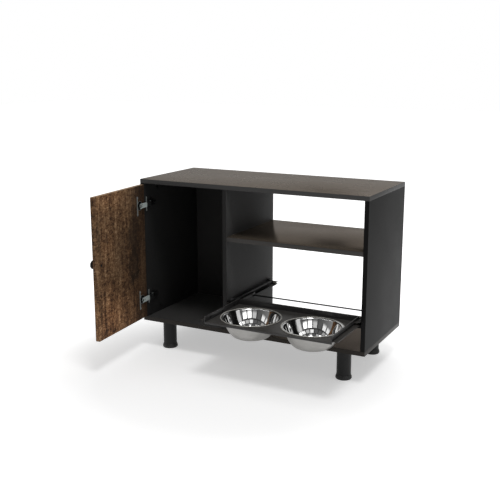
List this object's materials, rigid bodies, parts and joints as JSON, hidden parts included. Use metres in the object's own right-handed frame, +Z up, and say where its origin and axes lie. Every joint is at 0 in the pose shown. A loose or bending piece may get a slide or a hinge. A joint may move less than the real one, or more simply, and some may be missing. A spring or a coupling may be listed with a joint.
{
  "type": "elevated dog feeder with storage",
  "caption": "Low cabinet on round legs with a hinged door on a closed cupboard, an open bay with a shelf, and a pull-out tray that holds steel bowls.",
  "frame": {"origin": "on the floor, under the middle of the bounding box of the whole part with its door open and its tray pulled out", "axes": "+X to the right seen from the front, along the cabinet's width; +Y to the back; +Z up"},
  "size_m": [0.9, 0.7198, 0.656],
  "materials": {
    "board_top": "matt textured dark laminate over board",
    "board_side": "matt dark laminate over board",
    "hardboard": "smooth painted fibreboard",
    "beech": "bare beech",
    "reclaimed_oak": "brown rustic planks with knots, satin",
    "black_leg": "satin black powder coat",
    "black_plastic": "matt black",
    "felt": "dense felt",
    "grey_rubber": "soft grey",
    "black_metal": "satin black",
    "black_steel": "black coated sheet steel",
    "tray_steel": "dark bronze-grey powder coat, satin",
    "zinc_steel": "bright zinc plate",
    "nickel_steel": "nickel plate, satin",
    "ball_steel": "polished",
    "brass": "plain",
    "mirror_steel": "mirror-polished stainless steel"
  },
  "bodies": {
    "cabinet": {"top_panel": "board_top", "bottom_panel": "board_top", "left_side_panel": "board_side", "right_side_panel": "board_side", "divider_panel": "board_side", "shelf": "board_top", "back_panel": "hardboard", "back_nails": "zinc_steel", "wood_dowels": "beech", "cam_locks": "black_metal", "cam_bolts": "zinc_steel", "shelf_pins": "zinc_steel", "legs": "black_leg", "leg_bolts": "zinc_steel", "leg_inserts": "brass", "foot_caps": "black_plastic", "foot_pads": "felt", "hinge_pins": "nickel_steel", "hinge_plates": "nickel_steel", "hinge_base_arms": "black_steel", "hinge_plate_screws": "black_metal", "hinge_adjusters": "black_metal", "left_cabinet_runner": "black_steel", "right_cabinet_runner": "black_steel", "runner_screws": "zinc_steel", "rear_stops": "black_plastic", "front_bumpers": "grey_rubber", "runner_end_clips": "zinc_steel"},
    "door": {"door_panel": "reclaimed_oak", "door_knob": "black_metal", "knob_screw": "black_metal", "hinge_cups": "nickel_steel", "cup_screws": "zinc_steel", "cup_yokes": "black_steel", "cup_yoke_pins": "nickel_steel"},
    "hinge_arms": {"hinge_arms": "nickel_steel"},
    "tray": {"feeding_tray": "tray_steel", "left_tray_runner": "tray_steel", "right_tray_runner": "tray_steel", "tray_rivets": "black_steel", "tie_rod": "black_steel", "rod_rings": "black_steel"},
    "ball_cages": {"ball_retainers": "black_steel", "bearing_balls": "ball_steel"},
    "bowl_left": {"left_bowl": "mirror_steel"},
    "bowl_right": {"right_bowl": "mirror_steel"}
  },
  "joints": [
    {"name": "door_hinge", "type": "hinge", "parent": "cabinet", "child": "door", "pos_m": [-0.4427, -0.01841, 0.387], "axis": [0, 0, 1], "range_deg": [-9.6, 85.4]},
    {"name": "hinge_arm_pivot", "type": "hinge", "parent": "cabinet", "child": "hinge_arms", "pos_m": [-0.424, 0.00189, 0.387], "axis": [0, 0, 1], "range_deg": [-9.6, 85.4]},
    {"name": "tray_slide", "type": "slide", "parent": "cabinet", "child": "tray", "axis": [0, 1, 0], "range_m": [-0.04, 0.2]},
    {"name": "ball_cage_slide", "type": "slide", "parent": "cabinet", "child": "ball_cages", "axis": [0, 1, 0], "range_m": [-0.02, 0.1]},
    {"name": "left_bowl_lift", "type": "slide", "parent": "tray", "child": "bowl_left", "axis": [0, 0, 1], "range_m": [0, 0.12]},
    {"name": "right_bowl_lift", "type": "slide", "parent": "tray", "child": "bowl_right", "axis": [0, 0, 1], "range_m": [0, 0.12]}
  ],
  "couplings": [
    {"joint": "hinge_arm_pivot", "follows": "door_hinge", "ratio": 1},
    {"joint": "ball_cage_slide", "follows": "tray_slide", "ratio": 0.5}
  ]
}
